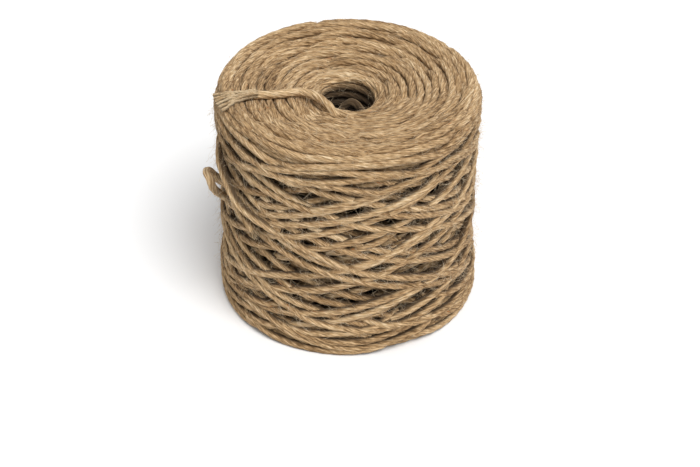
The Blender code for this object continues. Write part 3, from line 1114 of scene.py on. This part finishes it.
def streaks(tree, place, fine, lift):
    """Straw and brown side by side, in streaks and tufts; a lift makes them paler."""
    broad = calc(tree, "MULTIPLY", stretched_noise(tree, place, *BROAD_GRAIN), BROAD_SHARE)
    mixed = calc(tree, "MULTIPLY_ADD", fine, FINE_SHARE, broad)
    tuft = stretched_noise(tree, place, *TUFT_GRAIN)
    mixed = calc(tree, "MULTIPLY_ADD", tuft, TUFT_SHARE, mixed)
    tone = stretched_noise(tree, place, *TONE_GRAIN)
    mixed = calc(tree, "SUBTRACT", mixed, TONE_MIDDLE - lift)
    return ramp(tree, calc(tree, "MULTIPLY_ADD", tone, TONE_SHARE, mixed), *FIBRE_STOPS)


def valley_between_plies(tree, place):
    """How near a place on the profile is to the valley between two plies."""
    axes = parts(tree, place)
    angle = calc(tree, "MULTIPLY", calc(tree, "ARCTAN2", axes[1], axes[0]), float(PLIES))
    valley = calc(tree, "MULTIPLY_ADD", calc(tree, "COSINE", angle), -0.5, 0.5)
    return calc(tree, "POWER", valley, VALLEY_POWER)


def sprinkle(tree, colour, place, grain, over, share, tint):
    """Small spots of another colour, where a noise is over a bound."""
    spots = calc(tree, "GREATER_THAN", stretched_noise(tree, place, *grain), over)
    return blend(tree, calc(tree, "MULTIPLY", spots, share), colour, tint)


def jute_material(name, lift=0.0, flank=FLANK_SHARE, softer=FACE_SOFTER):
    """Twine: streaked fibre that follows the strand, with its specks and painted shade."""
    material, shader = new_material(name, roughness=0.85, specular=0.15)
    tree = material.node_tree
    place = node(tree, "ShaderNodeAttribute", attribute_name="strand").outputs["Vector"]
    fine = stretched_noise(tree, place, *FINE_GRAIN)
    valley = valley_between_plies(tree, place)
    colour = streaks(tree, place, fine, lift)
    # painted shade in the valleys between plies
    colour = blend(tree, calc(tree, "MULTIPLY", valley, VALLEY_PAINTED_SHADE), colour, FIBRE_DARK_AND_VALLEY_SHADE)
    colour = sprinkle(tree, colour, place, SPECK_GRAIN, SPECK_OVER, SPECK_SHARE, FIBRE_DARK_AND_VALLEY_SHADE)
    colour = sprinkle(tree, colour, place, RARE_GRAIN, FLECK_OVER, FLECK_SHARE, FLECK_ORANGE)
    # painted shade on each strand's flanks
    colour = blend(tree, painted_flank_shade(tree, flank, softer), colour, FLANK_PAINTED_SHADE)
    # painted shade: the bore darkens with depth below its rim
    colour = blend(tree, painted_bore_shade(tree), colour, BORE_PAINTED_SHADE)
    tree.links.new(colour, shader.inputs["Base Color"])
    relief = calc(tree, "MULTIPLY_ADD", valley, BUMP_VALLEY, calc(tree, "MULTIPLY", fine, BUMP_FIBRE))
    bump = node(tree, "ShaderNodeBump",
                {"Strength": BUMP_STRENGTH, "Distance": BUMP_HEIGHT, "Height": relief})
    tree.links.new(bump.outputs[0], shader.inputs["Normal"])
    shader.inputs["Sheen Weight"].default_value = SHEEN
    shader.inputs["Sheen Roughness"].default_value = SHEEN_ROUGHNESS
    return material


jute = jute_material("jute")
jute_pale = jute_material("jute_pale", lift=0.05, flank=0.45)
jute_ply = jute_material("jute_ply", lift=0.14, flank=0.55, softer=0.1)
print("materials:", [material.name for material in (jute, jute_pale, jute_ply)])

# %% Plain fibre
PLAIN_DETAIL = 3.0
DARK_UP_TO = 0.35
LIGHT_FROM = 0.65
HAIR_GRAIN = 180.0
SHADE_GRAIN = 420.0


def plain_fibre(name, dark, light, scale):
    """Fibre without a strand to follow: hairs, and the inner layers in dark painted shade."""
    material, shader = new_material(name, roughness=0.9, specular=0.2)
    tree = material.node_tree
    grain = noise(tree, node(tree, "ShaderNodeTexCoord").outputs["Object"], PLAIN_DETAIL, scale)
    colour = ramp(tree, grain, (DARK_UP_TO, dark), (LIGHT_FROM, light))
    tree.links.new(colour, shader.inputs["Base Color"])
    return material


jute_hair = plain_fibre("jute_hair", FIBRE_BROWN, HAIR_PALE, HAIR_GRAIN)
# dark fibre as painted shade for the core
jute_shade = plain_fibre("jute_shade", PAINTED_SHADE_DARK, PAINTED_SHADE_BROWN, SHADE_GRAIN)
print("materials:", [material.name for material in (jute_hair, jute_shade)])

# %% [markdown]
# ## The loose ends
#
# They are laid first, because their length and place must agree with the solids. The
# inner end is cut off where its plies have come apart, so six thinner strands fan out
# of its tip. The outer end is a plain cut end with its plies a little splayed.

# %% Plies of the two tips
PLY_WIDTH = 0.0016
PLY_PITCH = 0.0017
PLY_LENGTH = 0.019
PLY_FAN = 0.018
PLY_FAN_POWER = 1.1
PLY_OUTER_SHORTER = 0.15
PLY_WAVE = 0.0006
PLY_WAVE_TURN = 7.0
PLY_WAVE_SHIFT = 2.3
PLY_DROOP = 0.10
PLY_FLUFF = 1.60
PLY_TAPER = 0.30
PLY_ROOT = -0.35
STUB_LENGTH = 0.004
PLY_POINTS = 20
TIP_PLIES = 7
TIP_LENGTH = 0.0048
TIP_SHORTEST = 0.6
TIP_WIDTH = 0.0015
TIP_TAPER = 0.45
TIP_ROOT = 0.0011
TIP_SPLAY = 0.0019
TIP_CURL = 1.5
TIP_FROM = -0.4
TIP_POINTS = 9


def ply_path(column, layer, end, along, across, up):
    """Middle line of one loose ply, from inside the twine's end to its tip."""
    rank = (2 * column + layer) / (PLIES - 1) - 0.5
    root = (across * (column - 1) + up * (layer - 0.5)) * PLY_PITCH
    points = []
    for share in np.linspace(PLY_ROOT, 1, PLY_POINTS):
        out = max(0.0, share)
        wave = PLY_WAVE * out * math.sin(PLY_WAVE_TURN * out + PLY_WAVE_SHIFT * (column + 3 * layer))
        spread = across * (rank * PLY_FAN * out ** PLY_FAN_POWER + wave)
        reach = along * (STUB_LENGTH + PLY_LENGTH * share * (1 - PLY_OUTER_SHORTER * abs(rank)))
        spot = end + reach + spread + root * (1 - out)
        lying = on_top(spot[0], spot[1], PLY_WIDTH / 2)[2]
        drooped = end[2] + (along[2] * STUB_LENGTH) - PLY_DROOP * PLY_LENGTH * out ** 2
        spot[2] = max(lying, drooped + root[2] * (1 - out))
        points.append(spot)
    return np.array(points)


def tip_ply(angle, length, end, along, across, outward):
    """Middle line of one short ply that splays from a cut end, and never into the roll."""
    side = across * math.cos(angle) + outward * max(0.0, math.sin(angle))
    points = []
    for share in np.linspace(TIP_FROM, 1, TIP_POINTS):
        splay = TIP_ROOT + TIP_SPLAY * max(0.0, share) ** TIP_CURL
        points.append(end + along * length * share + side * splay)
    return np.array(points)


def unit(vector):
    """A direction, one long."""
    return vector / np.linalg.norm(vector)


def fanned_plies():
    """The six plies that lie fanned out past the inner end."""
    end = start_path[-1]
    along = unit(end - start_path[-3])
    across = unit(np.cross(along, (0, 0, 1)))
    up = np.cross(across, along)
    return [ply_path(column, layer, end, along, across, up)
            for column in range(PLIES // 2) for layer in range(2)]


def splayed_plies():
    """The short plies round the outer end's cut."""
    end = tail_path[-1]
    along = unit(end - tail_path[-3])
    outward = unit(end * (1, 1, 0))
    across = np.cross(outward, along)
    plies = []
    for k in range(TIP_PLIES):
        length = TIP_LENGTH * (TIP_SHORTEST + (1 - TIP_SHORTEST) * chance.random())
        plies.append(tip_ply(2 * math.pi * k / TIP_PLIES, length, end, along, across, outward))
    return plies


print("plies at the tips:", PLIES, "and", TIP_PLIES)

# %% Cords
CORD_STEP = 0.0015
FRAYED = {"lobe_depth": 0.05, "twist_pitch": 0.012, "material": jute_ply}


def make_cord(name, path, seed):
    """The twine of one loose end."""
    strand = strand_object(name, [path])
    return dress(run_tree(strand, laid_twine, step=CORD_STEP, seed=seed, material=jute_pale))


def make_tip(name, plies, thicks, width, **values):
    """The plies at the tip of a loose end."""
    strands = strand_object(name, plies, thicks)
    return dress(run_tree(strands, laid_twine, radius=width / 2, **FRAYED, **values))


def declare_cord(cord, path):
    """Print a loose end's length."""
    print(cord.name, "is", round(float(distances(path)[-1]), 4), "m long")


start_cord = make_cord("start_cord", start_path, seed=1)
ply_thick = PLY_FLUFF - PLY_TAPER * np.linspace(0, 1, PLY_POINTS) ** 2
frayed_plies = make_tip("frayed_plies", fanned_plies(), [ply_thick] * PLIES, PLY_WIDTH,
                        step=0.0010, slub=0.3, sides=8)
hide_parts("start_end")
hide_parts("start_plies")
declare_cord(start_cord, start_path)

tail_cord = make_cord("tail_cord", tail_path, seed=5)
tip_thick = np.linspace(1.0, TIP_TAPER, TIP_POINTS)
tail_plies = make_tip("tail_plies", splayed_plies(), [tip_thick] * TIP_PLIES, TIP_WIDTH,
                      step=0.0007, slub=0.4, sides=6)
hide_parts("outer_tail")
declare_cord(tail_cord, tail_path)

# %% [markdown]
# ## Winding the roll
#
# Now every path becomes twine. The winding is split into pieces by layer, so that no
# mesh grows past what a viewer handles easily: the strands that show get twelve sides,
# and the shaded layers under them get six or eight.

# %% Wound pieces
WOUND_HALF = 0.0024
TOP_HALF = 0.0022
FIRST_WOUND_SEED = 11
HALFWAY = len(outer_path) // 2
IN_SHADE = {"sides": 8, "lobe_depth": 0.0}
WOUND = (
    ("side_outer_a", [outer_path[:HALFWAY + 1]], {"step": 0.0026}),
    ("side_outer_b", [outer_path[HALFWAY:]], {"step": 0.0026}),
    ("side_under", [under_path], {"step": 0.0040} | IN_SHADE),
    ("side_wraps", wrap_paths, {"step": 0.0024}),
    ("top_turns", top_arcs, {"step": 0.0028, "radius": TOP_HALF}),
    ("top_under", top_rings, {"step": 0.0045} | IN_SHADE),
    ("base_turns", base_arcs, {"step": 0.0034}),
    ("base_under", base_rings, {"step": 0.0050} | IN_SHADE | {"sides": 6}),
    ("bore_wall", [bore_path], {"step": 0.0034, "radius": HALF}),
    ("slack_turn", [slack_path], {"step": 0.0013}),
)


def wound_piece(name, paths, radius=WOUND_HALF, **values):
    """One piece of the winding that stands for the roll's solid; tension makes it slimmer."""
    piece = run_tree(strand_object(name, paths), laid_twine, radius=radius, material=jute, **values)
    dress(piece)
    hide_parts("wound_body")
    return piece


wound = {}
for seed, (name, paths, values) in enumerate(WOUND, start=FIRST_WOUND_SEED):
    wound[name] = wound_piece(name, paths, seed=seed, **values)

# %% [markdown]
# ## The core
#
# Between the strands one looks into the layers below, which are nearly in the dark. A
# plain turned body, coloured dark as painted shade, closes the view there. It is a lathe
# shape, so a profile with a Screw modifier would make it; a short loop does the same and
# leaves nothing to apply.

# %% Core
CORE_SIDES = 72
CORE_OUTER = ROLL_RADIUS - CORE_DEPTH - 0.0005
CORE_INNER = BORE_RADIUS + 0.0032
CORE_LOW = 0.0055
CORE_HIGH = ROLL_HEIGHT - TOP_DISH - 0.0060
CORE_PROFILE = (
    (CORE_INNER, CORE_LOW + 0.002),
    (CORE_INNER + 0.004, CORE_LOW),
    (CORE_OUTER - 0.004, CORE_LOW - 0.001),
    (CORE_OUTER, CORE_LOW + 0.003),
    (CORE_OUTER, CORE_HIGH + 0.001),
    (CORE_OUTER - 0.006, CORE_HIGH + 0.003),
    (CORE_INNER + 0.010, CORE_HIGH - 0.002),
    (CORE_INNER, CORE_HIGH - 0.006),
)


def turned(name, profile, material):
    """A closed ring turned from a profile of (radius, height) corners."""
    body = bmesh.new()
    rings = []
    for k in range(CORE_SIDES):
        angle = 2 * math.pi * k / CORE_SIDES
        x, y = math.sin(angle), -math.cos(angle)
        rings.append([body.verts.new((r * x, r * y, z)) for r, z in profile])
    for ring, after in zip(rings, rings[1:] + rings[:1]):
        for face in zip(ring, after, after[1:] + after[:1], ring[1:] + ring[:1]):
            body.faces.new(face)
    bmesh.ops.recalc_face_normals(body, faces=body.faces)
    mesh = bpy.data.meshes.new(name)
    body.to_mesh(mesh)
    body.free()
    mesh.materials.append(material)
    mesh.shade_smooth()
    return place_object(name, mesh)


# the core's dark colour is painted shade
wound_core = dress(turned("wound_core", CORE_PROFILE, jute_shade))
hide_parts("wound_body")
print("core from", round(CORE_INNER, 4), "to", round(CORE_OUTER, 4))

# %% [markdown]
# ## Loose fibres
#
# Nothing says jute like its hairs. They are only a tenth of a millimetre thick, and
# thousands of them cross the dark gaps and soften the outline. Blender's hair curves
# would be lighter, but the part has to be a mesh, so a second tree scatters three kinds
# of small bent fibre over the twine wherever its surface looks outward.

# %% The hair tree
HAIR_SOCKETS = (
    ("Density", "NodeSocketFloat", 100000.0),
    ("Shortest", "NodeSocketFloat", 0.004),
    ("Longest", "NodeSocketFloat", 0.010),
    ("Hair Width", "NodeSocketFloat", 0.0058),
    ("Seed", "NodeSocketInt", 3),
    ("Material", "NodeSocketMaterial", None),
)
HAIR_FACING = 0.25
HAIR_ROOT = (0.0, 0.0, -0.03)
# Middle and tip of each kind, for a fibre of length one.
HAIR_BENDS = (
    ((0.42, 0.10, 0.30), (1.0, -0.08, 0.10)),
    ((0.50, -0.16, 0.22), (0.95, 0.14, 0.26)),
    ((0.30, 0.06, 0.42), (0.80, 0.22, 0.40)),
)


def hair_kinds(tree, given):
    """The kinds of small bent fibre, each one long."""
    section = shape(tree, "CurvePrimitiveCircle", {"Resolution": 3, "Radius": given["Hair Width"]})
    kinds = node(tree, "GeometryNodeJoinGeometry")
    for bend, tip in HAIR_BENDS:
        arc = shape(tree, "CurveQuadraticBezier",
                    {"Resolution": 3, "Start": HAIR_ROOT, "Middle": bend, "End": tip})
        fibre = shape(tree, "CurveToMesh", {"Curve": arc, "Profile Curve": section, "Fill Caps": True})
        kind = shape(tree, "GeometryToInstance", {"Geometry": fibre})
        tree.links.new(kind, kinds.inputs[0])
    return kinds.outputs[0]


def hair_tree():
    """Scatter short bent fibres on whatever part of a mesh looks outward."""
    tree, given, end = new_tree("loose_fibres", HAIR_SOCKETS)
    middle = (0.0, 0.0, ROLL_HEIGHT / 2)
    from_middle = vector_calc(tree, "SUBTRACT", shape(tree, "InputPosition"), middle)
    outward = vector_calc(tree, "NORMALIZE", from_middle)
    facing = vector_calc(tree, "DOT_PRODUCT", shape(tree, "InputNormal"), outward)
    shown = calc(tree, "GREATER_THAN", facing, HAIR_FACING)
    points = node(tree, "GeometryNodeDistributePointsOnFaces",
                  {"Mesh": given["Geometry"], "Selection": shown,
                   "Density": given["Density"], "Seed": given["Seed"]}).outputs
    spin = random_number(tree, 0.0, 2 * math.pi, given["Seed"])
    turn = node(tree, "FunctionNodeAxisAngleToRotation", {"Axis": (0, 0, 1), "Angle": spin})
    turned_by = node(tree, "FunctionNodeRotateRotation",
                     {"Rotation": points["Rotation"], "Rotate By": turn.outputs[0]},
                     rotation_space="LOCAL")
    size = random_number(tree, given["Shortest"], given["Longest"], given["Seed"])
    placed = shape(tree, "InstanceOnPoints",
                   {"Points": points["Points"], "Instance": hair_kinds(tree, given),
                    "Pick Instance": True, "Rotation": turned_by.outputs[0], "Scale": size})
    real = shape(tree, "RealizeInstances", {"Geometry": placed})
    painted = shape(tree, "SetMaterial",
                    {"Geometry": above_floor(tree, real), "Material": given["Material"]})
    tree.links.new(painted, end.inputs[0])
    return tree


loose_fibres = hair_tree()
print("hair tree:", len(loose_fibres.nodes), "nodes")

# %% Hairs on the winding
# Hairs on each square metre of the twine's surface.
SPARSE = 90000.0
DENSE = 110000.0
FIRST_HAIR_SEED = 21
ON_TOP = {"shortest": 0.003, "longest": 0.008}
ON_CORDS = {"shortest": 0.003, "longest": 0.007}
FUZZ = (
    ("side_fuzz_a", wound["side_outer_a"], SPARSE, {}),
    ("side_fuzz_b", wound["side_outer_b"], SPARSE, {}),
    ("wrap_fuzz", wound["side_wraps"], DENSE, {}),
    ("top_fuzz", wound["top_turns"], DENSE, ON_TOP),
    ("start_fuzz", start_cord, SPARSE, ON_CORDS),
    ("tail_fuzz", tail_cord, SPARSE, ON_CORDS),
)


def hairs_on(name, source, **values):
    """Loose fibres that grow from another piece."""
    piece = place_object(name, source.data.copy())
    piece.data.materials.clear()
    return dress(run_tree(piece, loose_fibres, material=jute_hair, **values))


for seed, (name, source, density, lengths) in enumerate(FUZZ, start=FIRST_HAIR_SEED):
    hairs_on(name, source, density=density, seed=seed, **lengths)

# %% [markdown]
# ## Floor and light
#
# The photograph is a product picture on white, lit softly from above, the front and a
# little from the right. Several large lamps would do, but near lamps light a floor
# unevenly. One broad, very far lamp and bright surroundings give the same soft light
# and leave the floor evenly pale.

# %% Floor
FLOOR_SIZE = 8.0
FLOOR_PALE = (0.88, 0.88, 0.88, 1.0)


def make_floor():
    """One wide pale sheet, which isn't part of the object."""
    mesh = bpy.data.meshes.new("floor")
    reach = FLOOR_SIZE / 2
    corners = [(x * reach, y * reach, 0) for x, y in ((-1, -1), (1, -1), (1, 1), (-1, 1))]
    mesh.from_pydata(corners, [], [(0, 1, 2, 3)])
    material, shader = new_material("pale_floor", roughness=0.7, specular=0.5)
    shader.inputs["Base Color"].default_value = FLOOR_PALE
    mesh.materials.append(material)
    floor = place_object("floor", mesh)
    return floor


print("floor", make_floor().name)

# %% Light
KEY_FROM = (0.42, -0.74, 1.35)
KEY_STRENGTH = 2.85
KEY_ANGLE = math.radians(34.0)
WORLD_LIGHT = 0.58


def make_key():
    """One broad, far lamp, so that the floor is evenly lit."""
    lamp_data = bpy.data.lights.new("key", "SUN")
    lamp_data.energy = KEY_STRENGTH
    lamp_data.angle = KEY_ANGLE
    lamp = place_object("key", lamp_data)
    lamp.rotation_euler = Vector(KEY_FROM).to_track_quat("Z", "Y").to_euler()
    return lamp


def make_light():
    """White surroundings and the lamp; colours are shown as they are."""
    world = bpy.data.worlds.new("studio")
    world.use_nodes = True
    background = world.node_tree.nodes["Background"]
    background.inputs["Color"].default_value = (1.0, 1.0, 1.0, 1.0)
    background.inputs["Strength"].default_value = WORLD_LIGHT
    bpy.context.scene.world = world
    bpy.context.scene.view_settings.view_transform = "Standard"
    return make_key()


print("lamp", make_light().name)
